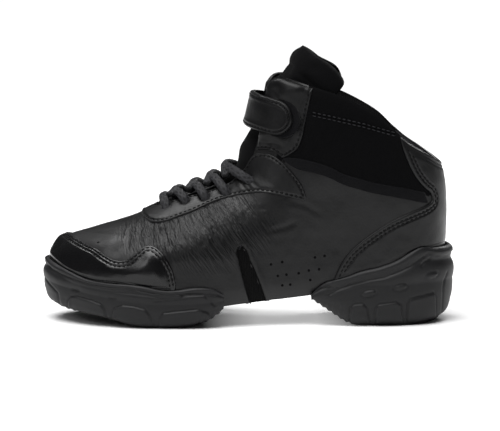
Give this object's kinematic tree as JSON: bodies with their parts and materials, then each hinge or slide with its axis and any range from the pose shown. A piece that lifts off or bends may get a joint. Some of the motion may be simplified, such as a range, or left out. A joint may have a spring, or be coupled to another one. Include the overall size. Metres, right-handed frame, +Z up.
{
  "type": "dance sneaker",
  "caption": "High-top split-sole dance sneaker in black leather with suede collar, lace-up instep, ankle strap, open arch and moulded rubber forefoot and heel soles.",
  "frame": {"origin": "centre of the heel's flat tread, on the floor", "axes": "+X from toe to heel, +Y towards the inner side of the foot, +Z up"},
  "size_m": [0.2661, 0.1044, 0.1759],
  "materials": {
    "full_grain_leather": "glossy, fine grain",
    "suede": "brushed, matte",
    "knit_elastic": "matte knit",
    "moulded_rubber": "satin, moulded",
    "woven_cord": "woven polyester"
  },
  "bodies": {
    "root": {"upper": "full_grain_leather", "toe_cap": "full_grain_leather", "eyestay": "full_grain_leather", "heel_counter": "full_grain_leather", "ankle_flap_outer": "full_grain_leather", "ankle_flap_inner": "full_grain_leather", "ankle_strap": "full_grain_leather", "collar_band_outer": "suede", "collar_band_inner": "suede", "tongue": "suede", "strap_patch": "suede", "stretch_gusset": "knit_elastic", "insole": "knit_elastic", "sole_forefoot": "moulded_rubber", "sole_heel": "moulded_rubber", "lace_bar": "woven_cord", "lace_cross_1": "woven_cord", "lace_cross_2": "woven_cord", "lace_cross_3": "woven_cord", "lace_cross_4": "woven_cord"}
  },
  "joints": []
}
